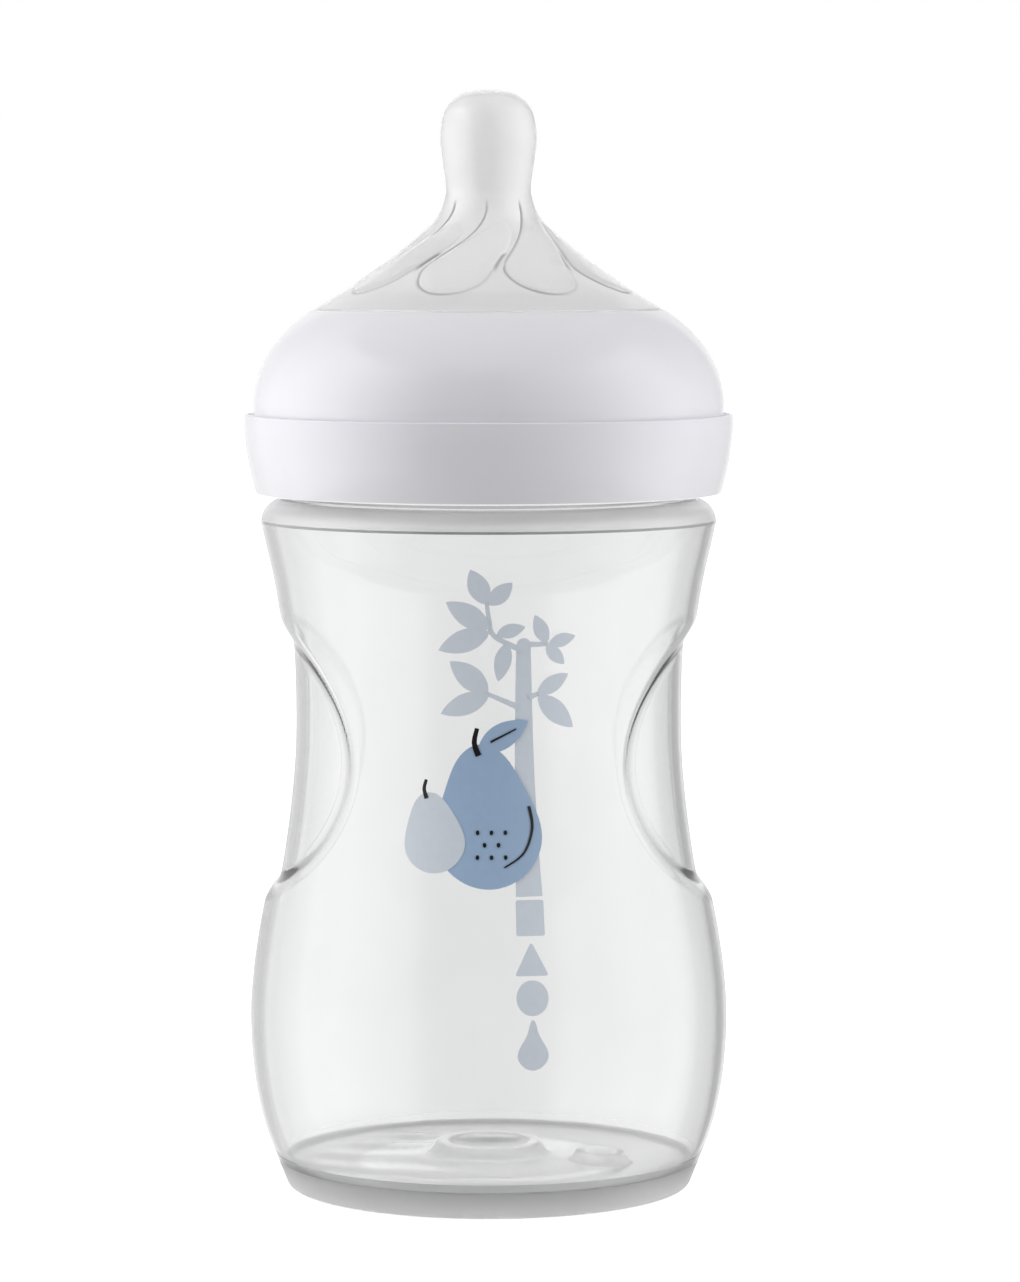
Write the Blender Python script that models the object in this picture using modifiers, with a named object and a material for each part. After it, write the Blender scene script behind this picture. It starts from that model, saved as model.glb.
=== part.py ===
"""Wide-neck baby bottle: clear bottle, white screw ring and soft teat.

Metres, +Z up.  The bottle stands on z = 0 and every piece is turned about the Z axis.
"""
import math

import bmesh
import bpy

COLLECTION_NAME = "baby_bottle"
STEPS = 56                          # facets round the axis, the same on every piece

# --- bottle: outside ---------------------------------------------------------------------
STANDING_INNER_RADIUS = 0.0205      # flat ring the bottle stands on
STANDING_OUTER_RADIUS = 0.0250
FOOT_END_ANGLE = -47                # degrees down the foot's ellipse where its straight end starts
FOOT_CORNER_CENTRE = (0.0281, 0.0018)
FOOT_CORNER_ROUNDING = 0.0012       # between the foot's end and the nearly flat underside
BULGE_RADIUS = 0.03435              # widest part of the bottle
BULGE_HEIGHT = 0.0250
WAIST_RADIUS = 0.02920
WAIST_HEIGHT = 0.0690
SHOULDER_RADIUS = 0.03262
SHOULDER_HEIGHT = 0.0963
SHOULDER_TOP = 0.0996
UNDERSIDE_RECESS = 0.0012           # foot hollow inside the standing ring
WALL_BENDS = [                      # outside of the wall from bulge to shoulder (radius, height)
    (BULGE_RADIUS, BULGE_HEIGHT),
    (0.03402, 0.0308),
    (0.03305, 0.0378),
    (0.03090, 0.0491),
    (0.02955, 0.0600),
    (WAIST_RADIUS, WAIST_HEIGHT),
    (0.02955, 0.0795),
    (0.03064, 0.0873),
    (0.03177, 0.0924),
    (SHOULDER_RADIUS, SHOULDER_HEIGHT),
]
BEFORE_BULGE = (0.03402, 0.0192)    # mirror of the first bend, so the wall leaves the bulge upright

# --- bottle: inside and neck -------------------------------------------------------------
WALL = 0.00135
FLOOR_HEIGHT = 0.0043
FLOOR_EDGE_RADIUS = 0.0290          # where the flat inner floor meets the wall
FLOOR_EDGE_ROUNDING = 0.0006
INNER_FOOT_REACH = 0.0240           # height of the ellipse that the inside of the foot follows
SHOULDER_UNDERSIDE = 0.0977         # inside of the shoulder, under its outer rounding
FLOOR_RISE = 0.0008                 # how much the floor climbs towards its middle
RIDGE_INNER_RADIUS = 0.0058         # round ridge in the middle of the floor
RIDGE_OUTER_RADIUS = 0.0074
RIDGE_TOP = 0.0070
RIDGE_FLANK = 0.0012
SMALL_RIDGE_PLACE = (0.0160, -0.0045)
SMALL_RIDGE_RADIUS = 0.0033
SMALL_RIDGE_WIDTH = 0.0014
SMALL_RIDGE_TOP = 0.0061
NECK_RADIUS = 0.0286
NECK_BORE_RADIUS = 0.0264
NECK_TOP = 0.1209

# --- oval grips --------------------------------------------------------------------------
GRIP_DEPTH = 0.0016
GRIP_HEIGHT = 0.0624                # height of the middle of each grip
GRIP_HALF_HEIGHT = 0.0208
GRIP_HALF_ANGLE = math.radians(50.6)
GRIP_EDGE = 0.21                    # share of the oval taken by its edge at the sides
GRIP_END_EDGE = 0.12                # and at its front and back ends
GRIP_FADE = 0.60                    # share of the depth lost at those ends

# --- screw ring --------------------------------------------------------------------------
RING_BOTTOM = 0.1004
RING_TOP = 0.1266
RING_HOLE_RADIUS = 0.02485
BAND_TOP = 0.1117
BAND_BENDS = [                      # outside of the band from lip to bottom (radius, height)
    (0.03500, 0.1114),
    (0.03500, 0.1095),
    (0.03473, 0.1071),
    (0.03430, 0.1044),
    (0.03365, 0.1017),
    (0.03325, 0.1008),
]
DOME_CENTRE = (0.010035, 0.11253)   # the dome is part of an upright ellipse
DOME_RADII = (0.023735, 0.01820)
DOME_START = 50.5                   # degrees up the ellipse where the dome meets the hole
DOME_STOP = 2.0
LEDGE_HEIGHT = 0.1113               # flat step between the dome and the lip of the band
LEDGE_INNER_RADIUS = 0.0338
LEDGE_OUTER_RADIUS = 0.0344
RING_SEAT_HEIGHT = 0.1226           # underside of the lip that holds the teat down
RING_SEAT_RADIUS = 0.02835
RING_BORE_RADIUS = 0.0305
RING_BORE_TOP = 0.1172

# --- screw thread ------------------------------------------------------------------------
PITCH = 0.0050
NECK_THREAD_CREST = 0.0299
NECK_THREAD_START = 0.1080
NECK_THREAD_TURNS = 1.0
RING_THREAD_CREST = 0.0292
RING_THREAD_START = NECK_THREAD_START - 0.00165     # the ring's ridge hangs below the neck's
RING_THREAD_TURNS = 0.9
THREAD_FOOT = 0.0022                # height of a ridge where it joins the wall
THREAD_TIP = 0.0010                 # height of a ridge at its crest
THREAD_SINK = 0.0004                # how far a ridge is rooted into its wall
THREAD_RUN_OUT = math.radians(28)   # angle over which each end of a ridge fades away

# --- teat --------------------------------------------------------------------------------
TEAT_TIP = 0.1578
TEAT_COLLAR_RADIUS = 0.02452        # where the teat passes through the ring
TEAT_SKIN = [                       # outside of the teat from tip to collar (radius, height)
    (0.0036, 0.15745),
    (0.0056, 0.1558),
    (0.0069, 0.1511),
    (0.0061, 0.1443),
    (0.0073, 0.1396),
    (0.01235, 0.1345),
    (0.0189, 0.1302),
    (TEAT_COLLAR_RADIUS, 0.1267),
]
TEAT_WALL = 0.0017
TEAT_FLANGE_RADIUS = 0.0280
TEAT_FLANGE_TOP = 0.1223
TEAT_FLANGE_BOTTOM = 0.1212
MILK_HOLE_RADIUS = 0.0004
VENT_RADIUS = 0.0006
VENT_DISTANCE = 0.02555             # distance of each vent hole from the axis
PETALS = 8
PETAL_TOP = 0.1412
PETAL_BOTTOM = 0.1290
PETAL_SWEEP = math.radians(34)      # how far a crease leans round the teat on its way down
PETAL_RISE = 0.00055


def smooth_curve(points, spacing, lead_in=None):
    """Points on a smooth curve through the given ones, about one spacing apart.  A lead_in
    point ahead of the first one sets the direction the curve starts in."""
    ends = [lead_in or points[0]] + list(points) + [points[-1]]
    curve = []
    for before, start, stop, after in zip(ends, ends[1:], ends[2:], ends[3:]):
        pieces = max(1, round(math.dist(start, stop) / spacing))
        for piece in range(pieces):
            t = piece / pieces
            curve.append(tuple(
                0.5 * (2 * b + (c - a) * t + (2 * a - 5 * b + 4 * c - d) * t ** 2
                       + (3 * b - a - 3 * c + d) * t ** 3)
                for a, b, c, d in zip(before, start, stop, after)))
    curve.append(tuple(points[-1]))
    return curve


def arc(centre, radii, start, stop, pieces):
    """Points on an upright ellipse arc; angles in degrees, 0 outward and 90 up."""
    points = []
    for piece in range(pieces + 1):
        angle = math.radians(start + (stop - start) * piece / pieces)
        points.append((centre[0] + radii[0] * math.cos(angle),
                       centre[1] + radii[1] * math.sin(angle)))
    return points


def plastic(name, colour, roughness, transmission=0.0, ior=1.5):
    material = bpy.data.materials.new(name)
    material.use_nodes = True
    shader = material.node_tree.nodes["Principled BSDF"]
    shader.inputs["Base Color"].default_value = (*colour, 1.0)
    shader.inputs["Roughness"].default_value = roughness
    shader.inputs["Transmission Weight"].default_value = transmission
    shader.inputs["IOR"].default_value = ior
    material.diffuse_color = (*colour, 1.0)
    return material


def turned(name, outline, collection, closed, steps=STEPS):
    """Turn an outline of (radius, height) points about Z with a Screw modifier."""
    mesh = bpy.data.meshes.new(name)
    edges = [(i, i + 1) for i in range(len(outline) - 1)]
    if closed:
        edges.append((len(outline) - 1, 0))
    mesh.from_pydata([(radius, 0.0, height) for radius, height in outline], edges, [])
    piece = bpy.data.objects.new(name, mesh)
    collection.objects.link(piece)
    screw = piece.modifiers.new("turn", "SCREW")
    screw.steps = steps
    screw.render_steps = steps
    screw.use_merge_vertices = True
    screw.merge_threshold = 0.00001
    screw.use_normal_calculate = True
    return piece


def apply_modifiers(piece):
    """Replace a piece's mesh by the shape its modifiers make."""
    bpy.context.view_layer.update()
    evaluated = piece.evaluated_get(bpy.context.evaluated_depsgraph_get())
    mesh = bpy.data.meshes.new_from_object(evaluated)
    piece.modifiers.clear()
    piece.data = mesh


def shift_outward(piece, shift):
    """Move each vertex away from the axis by shift(azimuth, radius, height)."""
    for vertex in piece.data.vertices:
        x, y, z = vertex.co
        radius = math.hypot(x, y)
        if radius > 1e-6:
            azimuth = math.atan2(y, x)
            scale = 1.0 + shift(azimuth, radius, z) / radius
            vertex.co.x = x * scale
            vertex.co.y = y * scale


def thread_ridge(name, wall_radius, crest_radius, start_height, turns, collection):
    """A right-hand helical ridge rooted in a wall, fading away at both ends."""
    outward = 1.0 if crest_radius > wall_radius else -1.0
    sections = round(turns * STEPS)
    mesh = bmesh.new()
    rows = []
    for section in range(sections + 1):
        along = 2 * math.pi * section / STEPS
        angle = along + math.pi / STEPS
        height = start_height + PITCH * section / STEPS
        to_end = min(along, 2 * math.pi * sections / STEPS - along)
        fade = min(1.0, 0.05 + to_end / THREAD_RUN_OUT)
        crest = wall_radius + (crest_radius - wall_radius) * fade
        root = wall_radius - outward * THREAD_SINK
        half_foot = (0.4 + 0.6 * fade) * THREAD_FOOT / 2
        half_tip = (0.4 + 0.6 * fade) * THREAD_TIP / 2
        corners = [(root, -half_foot), (crest, -half_tip), (crest, half_tip), (root, half_foot)]
        rows.append([mesh.verts.new((r * math.cos(angle), r * math.sin(angle), height + rise))
                     for r, rise in corners])
    for row, following in zip(rows, rows[1:]):
        for corner in range(4):
            after = (corner + 1) % 4
            mesh.faces.new((row[corner], row[after], following[after], following[corner]))
    mesh.faces.new(rows[0])
    mesh.faces.new(rows[-1])
    bmesh.ops.recalc_face_normals(mesh, faces=mesh.faces)
    data = bpy.data.meshes.new(name)
    mesh.to_mesh(data)
    mesh.free()
    ridge = bpy.data.objects.new(name, data)
    collection.objects.link(ridge)
    return ridge


def combine(piece, other, operation):
    """Join another shape to a piece, or cut it away."""
    other.hide_render = True
    other.display_type = "WIRE"
    modifier = piece.modifiers.new(operation.lower(), "BOOLEAN")
    modifier.operation = operation
    modifier.solver = "EXACT"
    modifier.object = other


def finish(piece, material, sharp_degrees):
    piece.data.materials.clear()
    piece.data.materials.append(material)
    piece.data.shade_smooth()
    piece.data.set_sharp_from_angle(angle=math.radians(sharp_degrees))


def grip_depth(azimuth, radius, height):
    """How far the wall is pushed in at a place, for the two oval grips at +X and -X."""
    from_side = math.asin(min(1.0, abs(math.sin(azimuth))))
    toward_end = min(1.0, from_side / GRIP_HALF_ANGLE) ** 2
    distance = math.hypot(from_side / GRIP_HALF_ANGLE, (height - GRIP_HEIGHT) / GRIP_HALF_HEIGHT)
    edge = GRIP_EDGE + (GRIP_END_EDGE - GRIP_EDGE) * toward_end
    inside = min(1.0, max(0.0, (1.0 - distance) / edge))
    return -GRIP_DEPTH * (1.0 - GRIP_FADE * toward_end) * inside


def petal_relief(azimuth, radius, height):
    """Gentle spiral petals: low at the creases, raised between them."""
    on_skin = radius - inner_teat_radius(height) > TEAT_WALL / 2
    down = (PETAL_TOP - height) / (PETAL_TOP - PETAL_BOTTOM)
    if not on_skin or not 0.0 < down < 1.0:
        return 0.0
    lean = PETAL_SWEEP * down ** 2
    across = 0.5 - 0.5 * math.cos(PETALS * (azimuth + math.pi / 2 + lean))
    fade = math.sin(math.pi * down) ** 0.5
    return PETAL_RISE * fade * (2.0 * across ** 0.5 - 1.2)


def inner_teat_radius(height):
    """Radius of the inside of the teat at a height below its tip."""
    skin = smooth_curve(TEAT_SKIN, 0.0010)
    for (radius, top), (next_radius, bottom) in zip(skin, skin[1:]):
        if bottom <= height <= top:
            share = (top - height) / (top - bottom)
            return radius + (next_radius - radius) * share - TEAT_WALL
    return 0.0


def make_bottle(collection, cutters):
    wall = smooth_curve(WALL_BENDS, 0.0030, BEFORE_BULGE)
    inner_wall = [(radius - WALL, height)
                  for radius, height in smooth_curve(WALL_BENDS, 0.0040, BEFORE_BULGE)]
    floor = [
        (0.0, FLOOR_HEIGHT + FLOOR_RISE),
        (RIDGE_INNER_RADIUS - RIDGE_FLANK, FLOOR_HEIGHT + FLOOR_RISE),
        (RIDGE_INNER_RADIUS, RIDGE_TOP),
        (RIDGE_OUTER_RADIUS, RIDGE_TOP),
        (RIDGE_OUTER_RADIUS + RIDGE_FLANK, FLOOR_HEIGHT + FLOOR_RISE),
    ]
    inner_foot = [
        (FLOOR_EDGE_RADIUS - FLOOR_EDGE_ROUNDING, FLOOR_HEIGHT),
        (FLOOR_EDGE_RADIUS + FLOOR_EDGE_ROUNDING / 2, FLOOR_HEIGHT + FLOOR_EDGE_ROUNDING),
    ] + arc((STANDING_OUTER_RADIUS, BULGE_HEIGHT),
            (BULGE_RADIUS - WALL - STANDING_OUTER_RADIUS, INNER_FOOT_REACH), -50, 0, 5)
    inner_neck = [
        (SHOULDER_RADIUS - WALL - 0.0003, SHOULDER_UNDERSIDE - 0.0003),
        (SHOULDER_RADIUS - WALL - 0.0010, SHOULDER_UNDERSIDE),
        (NECK_BORE_RADIUS + 0.0020, SHOULDER_UNDERSIDE + 0.0010),
        (NECK_BORE_RADIUS, SHOULDER_TOP + 0.0020),
        (NECK_BORE_RADIUS, NECK_TOP),
    ]
    rim = arc((NECK_RADIUS - 0.0006, NECK_TOP - 0.0006), (0.0006, 0.0006), 90, 0, 3)
    shoulder = arc((SHOULDER_RADIUS - 0.0030, SHOULDER_HEIGHT), (0.0030, 0.0033), 80, 0, 4)
    foot = arc((STANDING_OUTER_RADIUS, BULGE_HEIGHT),
               (BULGE_RADIUS - STANDING_OUTER_RADIUS, BULGE_HEIGHT), 0, FOOT_END_ANGLE, 4)
    foot_corner = arc(FOOT_CORNER_CENTRE, (FOOT_CORNER_ROUNDING, FOOT_CORNER_ROUNDING),
                      -15, -80, 3)
    underside = [
        (STANDING_OUTER_RADIUS, 0.0),
        (STANDING_INNER_RADIUS, 0.0),
        (STANDING_INNER_RADIUS - 0.0012, UNDERSIDE_RECESS),
        (0.0, UNDERSIDE_RECESS),
    ]
    outline = (floor + inner_foot + inner_wall[1:] + inner_neck
               + rim + [(NECK_RADIUS, SHOULDER_TOP + 0.0008)]
               + shoulder + wall[-2:0:-1] + foot + foot_corner + underside)
    bottle = turned("bottle_body", outline, collection, closed=False)
    apply_modifiers(bottle)
    shift_outward(bottle, grip_depth)
    ridge = thread_ridge("neck_thread", NECK_RADIUS, NECK_THREAD_CREST,
                         NECK_THREAD_START, NECK_THREAD_TURNS, cutters)
    combine(bottle, ridge, "UNION")
    small_ridge = turned("small_floor_ridge", [
        (SMALL_RIDGE_RADIUS, SMALL_RIDGE_TOP),
        (SMALL_RIDGE_RADIUS + SMALL_RIDGE_WIDTH / 2, FLOOR_HEIGHT - 0.0010),
        (SMALL_RIDGE_RADIUS - SMALL_RIDGE_WIDTH / 2, FLOOR_HEIGHT - 0.0010),
    ], cutters, closed=True, steps=24)
    small_ridge.location = (*SMALL_RIDGE_PLACE, 0.0)
    combine(bottle, small_ridge, "UNION")
    finish(bottle, plastic("clear_polypropylene", (0.93, 0.94, 0.94), 0.06, 1.0, 1.49), 40)
    return bottle


def make_ring(collection, cutters):
    dome = arc(DOME_CENTRE, DOME_RADII, DOME_START, DOME_STOP, 9)
    outline = (
        [(RING_HOLE_RADIUS, RING_TOP - 0.0004)]
        + dome
        + [
            (LEDGE_INNER_RADIUS, LEDGE_HEIGHT),
            (LEDGE_OUTER_RADIUS, LEDGE_HEIGHT),
            (LEDGE_OUTER_RADIUS, BAND_TOP - 0.0002),
            (LEDGE_OUTER_RADIUS + 0.0002, BAND_TOP),
            (BAND_BENDS[0][0] - 0.0003, BAND_TOP),
        ]
        + BAND_BENDS
        + [
            (BAND_BENDS[-1][0] - 0.0004, RING_BOTTOM),
            (RING_BORE_RADIUS + 0.0004, RING_BOTTOM),
            (RING_BORE_RADIUS, RING_BOTTOM + 0.0004),
            (RING_BORE_RADIUS, RING_BORE_TOP),
            (RING_SEAT_RADIUS, RING_SEAT_HEIGHT),
            (RING_HOLE_RADIUS, RING_SEAT_HEIGHT),
        ])
    ring = turned("screw_ring", outline, collection, closed=True)
    ridge = thread_ridge("ring_thread", RING_BORE_RADIUS, RING_THREAD_CREST,
                         RING_THREAD_START, RING_THREAD_TURNS, cutters)
    combine(ring, ridge, "UNION")
    finish(ring, plastic("white_polypropylene", (0.88, 0.88, 0.90), 0.18), 30)
    return ring


def make_teat(collection, cutters):
    skin = smooth_curve(TEAT_SKIN, 0.0017)
    inner = [(max(MILK_HOLE_RADIUS, radius - TEAT_WALL), height - 0.0010)
             for radius, height in smooth_curve(TEAT_SKIN[1:-1], 0.0035)]
    inner[0] = (0.0034, TEAT_TIP - 0.0028)
    outline = (
        [(MILK_HOLE_RADIUS, TEAT_TIP)]
        + skin
        + [
            (TEAT_COLLAR_RADIUS, TEAT_FLANGE_TOP),
            (TEAT_FLANGE_RADIUS, TEAT_FLANGE_TOP),
            (TEAT_FLANGE_RADIUS, TEAT_FLANGE_BOTTOM),
            (TEAT_COLLAR_RADIUS - TEAT_WALL, TEAT_FLANGE_BOTTOM),
            (TEAT_COLLAR_RADIUS - TEAT_WALL, TEAT_FLANGE_TOP + 0.0020),
        ]
        + inner[::-1]
        + [(MILK_HOLE_RADIUS, TEAT_TIP - 0.0018)])
    teat = turned("teat", outline, collection, closed=True)
    apply_modifiers(teat)
    shift_outward(teat, petal_relief)
    for side in (1, -1):
        mesh = bmesh.new()
        bmesh.ops.create_cone(mesh, cap_ends=True, segments=12, radius1=VENT_RADIUS,
                              radius2=VENT_RADIUS, depth=0.0040)
        data = bpy.data.meshes.new("vent_cutter")
        mesh.to_mesh(data)
        mesh.free()
        vent = bpy.data.objects.new("vent_cutter", data)
        vent.location = (0.0, side * VENT_DISTANCE, (TEAT_FLANGE_TOP + TEAT_FLANGE_BOTTOM) / 2)
        cutters.objects.link(vent)
        combine(teat, vent, "DIFFERENCE")
    finish(teat, plastic("clear_silicone", (0.86, 0.86, 0.85), 0.30, 0.35, 1.41), 40)
    return teat


for old in list(bpy.data.objects):
    bpy.data.objects.remove(old)
parts = bpy.data.collections.new(COLLECTION_NAME)
tools = bpy.data.collections.new("cutters")
bpy.context.scene.collection.children.link(parts)
bpy.context.scene.collection.children.link(tools)
make_bottle(parts, tools)
make_ring(parts, tools)
make_teat(parts, tools)
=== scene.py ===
"""Baby bottle: the finished surfaces, print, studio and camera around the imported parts.

Metres, +Z up, the printed front faces -Y.  Lengths repeat those of the CAD part, whose petals,
roundings and floor are coarser.
"""
import functools
import math

import bmesh
import bpy
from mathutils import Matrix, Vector


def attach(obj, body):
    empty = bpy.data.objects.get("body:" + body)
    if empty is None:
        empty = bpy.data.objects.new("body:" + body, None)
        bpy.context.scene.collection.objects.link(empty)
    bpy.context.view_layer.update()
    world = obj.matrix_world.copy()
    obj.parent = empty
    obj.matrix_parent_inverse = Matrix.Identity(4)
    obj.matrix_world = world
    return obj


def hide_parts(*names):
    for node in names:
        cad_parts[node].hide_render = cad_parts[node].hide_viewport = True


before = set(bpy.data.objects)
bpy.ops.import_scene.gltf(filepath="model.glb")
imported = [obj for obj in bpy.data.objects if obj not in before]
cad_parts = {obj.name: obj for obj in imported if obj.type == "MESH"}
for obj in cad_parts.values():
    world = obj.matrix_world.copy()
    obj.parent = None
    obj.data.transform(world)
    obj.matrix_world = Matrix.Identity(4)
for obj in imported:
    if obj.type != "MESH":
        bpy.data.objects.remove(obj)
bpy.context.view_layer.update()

SEGMENTS = 400                      # facets round the bottle and the ring
TEAT_SEGMENTS = 520
ROUNDING_PIECES = 5                 # edges in each rounded corner of an outline

# --- bottle ------------------------------------------------------------------------------
STANDING_INNER_RADIUS = 0.0205      # flat ring the bottle stands on
STANDING_OUTER_RADIUS = 0.0250
FOOT_END_ANGLE = -47                # degrees down the foot's ellipse where its straight end starts
FOOT_CORNER = (0.0290, 0.0007, 0.0010)  # radius, height and rounding of the foot's lower corner
UNDERSIDE_RECESS = 0.0012           # foot hollow inside the standing ring
DIMPLE_RADIUS = 0.0050              # round hollow in the middle of the underside
DIMPLE_TOP = 0.0020
BULGE_RADIUS = 0.03435              # widest part of the bottle
BULGE_HEIGHT = 0.0250
SHOULDER_RADIUS = 0.03262
SHOULDER_HEIGHT = 0.0963
SHOULDER_TOP = 0.0996
SHOULDER_ROUNDING = 0.0030
WALL_BENDS = [                      # outside of the wall from bulge to shoulder (radius, height)
    (BULGE_RADIUS, BULGE_HEIGHT),
    (0.03402, 0.0308),
    (0.03305, 0.0378),
    (0.03090, 0.0491),
    (0.02955, 0.0600),
    (0.02920, 0.0690),
    (0.02955, 0.0795),
    (0.03064, 0.0873),
    (0.03177, 0.0924),
    (SHOULDER_RADIUS, SHOULDER_HEIGHT),
]
BEFORE_BULGE = (0.03402, 0.0192)    # mirror of the first bend, so the wall leaves the bulge upright
WALL = 0.00135
FLOOR_HEIGHT = 0.0043               # inner floor, at its lowest
FLOOR_EDGE_RADIUS = 0.0290          # where the inner floor meets the wall
INNER_FOOT_REACH = 0.0240           # height of the ellipse that the inside of the foot follows
SHOULDER_UNDERSIDE = 0.0977         # inside of the shoulder, under its outer rounding
RIDGE_INNER_RADIUS = 0.0058         # round ridge in the middle of the floor
RIDGE_OUTER_RADIUS = 0.0074
RIDGE_TOP = 0.0070
RIDGE_REACH = 0.0090                # the floor is turned plainly up to this radius
SMALL_RIDGE_PLACE = (0.0160, -0.0045)
SMALL_RIDGE_RADIUS = 0.0033
SMALL_RIDGE_RISE = 0.0016
SMALL_RIDGE_HALF_WIDTH = 0.0011
RIPPLE_HEIGHT = 0.00010             # faint ripples on the left of the floor
RIPPLE_LENGTH = 0.0016
RIPPLE_SLANT = 0.0035
SHIFTED_NECK_BOTTOM = 0.1060        # above it only the thread shifts the skin
NECK_RADIUS = 0.0286
NECK_BORE_RADIUS = 0.0264
NECK_TOP = 0.1209
GRIP_DEPTH = 0.0016
GRIP_HEIGHT = 0.0624
GRIP_HALF_HEIGHT = 0.0208
GRIP_HALF_ANGLE = math.radians(50.6)
GRIP_EDGE = 0.21                    # share of the oval taken by its edge at the sides
GRIP_END_EDGE = 0.12                # and at its front and back ends
GRIP_EDGE_ROUNDING = 0.42           # share of the edge that is rounded, at its top and bottom
GRIP_FADE = 0.60                    # share of the depth lost at the front and back ends
THICK_ZONES = [                     # painted shade in the base colour at the bottom and the floor, clarity, roughness, painted glow
    ("base", (0.97, 0.47), 0.55, 0.28, 0.0),
    ("floor", (0.90, 0.90), 0.75, 0.08, 0.14),
    ("shoulder", (0.80, 0.80), 0.55, 0.16, 0.06),
]

# --- screw ring --------------------------------------------------------------------------
BAND_RADIUS = 0.03500
RING_BOTTOM = 0.1004
RING_TOP = 0.1266
RING_HOLE_RADIUS = 0.02485
BAND_TOP = 0.1117
BAND_BENDS = [                      # outside of the band from lip to bottom (radius, height)
    (BAND_RADIUS, 0.1114),
    (BAND_RADIUS, 0.1095),
    (0.03473, 0.1071),
    (0.03430, 0.1044),
    (0.03365, 0.1017),
    (0.03325, RING_BOTTOM),
]
DOME_CENTRE = (0.010035, 0.11253)   # the dome is part of an upright ellipse
DOME_RADII = (0.023735, 0.01820)
DOME_START = 50.5                   # degrees up the ellipse where the dome meets the hole
LEDGE_HEIGHT = 0.1113
LEDGE_INNER_RADIUS = 0.0336
LEDGE_OUTER_RADIUS = 0.0344
RING_SEAT_HEIGHT = 0.1226
RING_SEAT_RADIUS = 0.02835
RING_BORE_RADIUS = 0.0305
RING_BORE_TOP = 0.1172

# --- screw thread ------------------------------------------------------------------------
PITCH = 0.0050
THREAD_RISE = 0.0013
THREAD_FOOT = 0.0022
THREAD_TIP = 0.0010
THREAD_END = 1 / 12                 # share of a turn over which each end of a thread fades
NECK_THREAD_START = 0.1080
NECK_THREAD_TURNS = 1.0
RING_THREAD_START = NECK_THREAD_START - 0.00165
RING_THREAD_TURNS = 0.9

# --- teat --------------------------------------------------------------------------------
TEAT_COLLAR_RADIUS = 0.02452
MILK_HOLE_RADIUS = 0.0004
TEAT_TOP = 0.15780
TEAT_SKIN = [                       # outside of the teat from tip to collar (radius, height)
    (MILK_HOLE_RADIUS, TEAT_TOP),
    (0.0021, 0.15768),
    (0.0040, 0.15715),
    (0.0056, 0.15585),
    (0.0065, 0.1541),
    (0.0069, 0.1511),
    (0.0066, 0.1478),
    (0.0061, 0.1443),
    (0.0063, 0.1423),
    (0.0073, 0.1396),
    (0.0092, 0.1371),
    (0.01235, 0.1345),
    (0.0160, 0.13195),
    (0.0205, 0.12930),
    (TEAT_COLLAR_RADIUS, 0.12685),
]
TEAT_WALL = 0.0017
TEAT_TIP_WALL = 0.0014
INNER_BANDS = 7                     # the inside turns from cloudy to clear, with less painted glow, in this many steps
INNER_BANDS_BOTTOM = 0.1360
INNER_BANDS_TOP = 0.1440
TEAT_FLANGE_RADIUS = 0.0280
TEAT_FLANGE_TOP = 0.1223
TEAT_FLANGE_BOTTOM = 0.1212
PETALS = 8
PETAL_FIRST = math.radians(-2)      # azimuth of one crease's top, from the front
PETAL_TOP = 0.1425
PETAL_BOTTOM = 0.1280
PETAL_LOBE_HEIGHT = 0.1340          # height of the middle of the round lobe
PETAL_LOBE_RISE = 0.0050
PETAL_LOBE_ANGLE = math.radians(20.5)
PETAL_SWEEP = math.radians(36)      # turned by each crease between the next two heights
SWEEP_TOP = 0.1412
SWEEP_BOTTOM = 0.1318
PETAL_PAD = 0.00100
SHEET_SHARE = 0.35                  # part of a pad that is a flat sheet; the rest is a pillow
CREASE_DEPTH = 0.00022
CREASE_WIDTH = 0.00016
STROKE_TOP = 0.1349                 # short stroke at the right of each lobe, a groove painted dark as shade
STROKE_WIDTH = 0.00024

# --- print -------------------------------------------------------------------------------
PRINT_ROUND = 0.0300                # flat artwork is laid out for a wall of this radius
PRINT_GAP = 0.00004
PRINT_THICKNESS = 0.00003
PRINT_COLUMNS = range(-13, 14)      # mm across at which the artwork is cut so that it can bend
PRINT_ROWS = range(21, 94, 2)       # mm up, the same
GREY_INK = (0.690, 0.745, 0.815)
BLUE_INK = (0.360, 0.500, 0.690)
DARK_INK = (0.012, 0.012, 0.012)
BRANCHES = [                        # paths of the twigs, in mm across and up the flat artwork
    [(4.7, 80.2), (0.9, 82.2), (0.2, 84.4), (-0.2, 87.2)],
    [(5.6, 81.0), (7.0, 81.0), (8.5, 81.0)],
    [(4.3, 72.3), (2.2, 73.2), (-0.4, 74.3)],
    [(5.8, 73.6), (7.3, 74.2)],
]
LEAVES = [                          # foot of the leaf, direction in degrees, length and width
    (-0.2, 86.6, 113, 5.3, 2.9),
    (0.2, 86.5, 46, 4.4, 2.4),
    (0.3, 83.2, 148, 7.0, 3.2),
    (0.3, 82.8, 200, 7.7, 3.2),
    (1.2, 82.4, 15, 4.1, 2.0),
    (2.7, 81.3, 257, 5.6, 2.4),
    (8.3, 81.1, 115, 4.4, 2.1),
    (8.5, 81.0, 15, 4.1, 1.9),
    (8.2, 80.8, -44, 3.8, 1.9),
    (0.1, 74.4, 142, 6.9, 3.3),
    (0.2, 74.0, 201, 7.4, 3.0),
    (7.0, 74.1, 31, 5.3, 2.3),
    (7.1, 73.9, -41, 7.0, 3.0),
]


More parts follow.
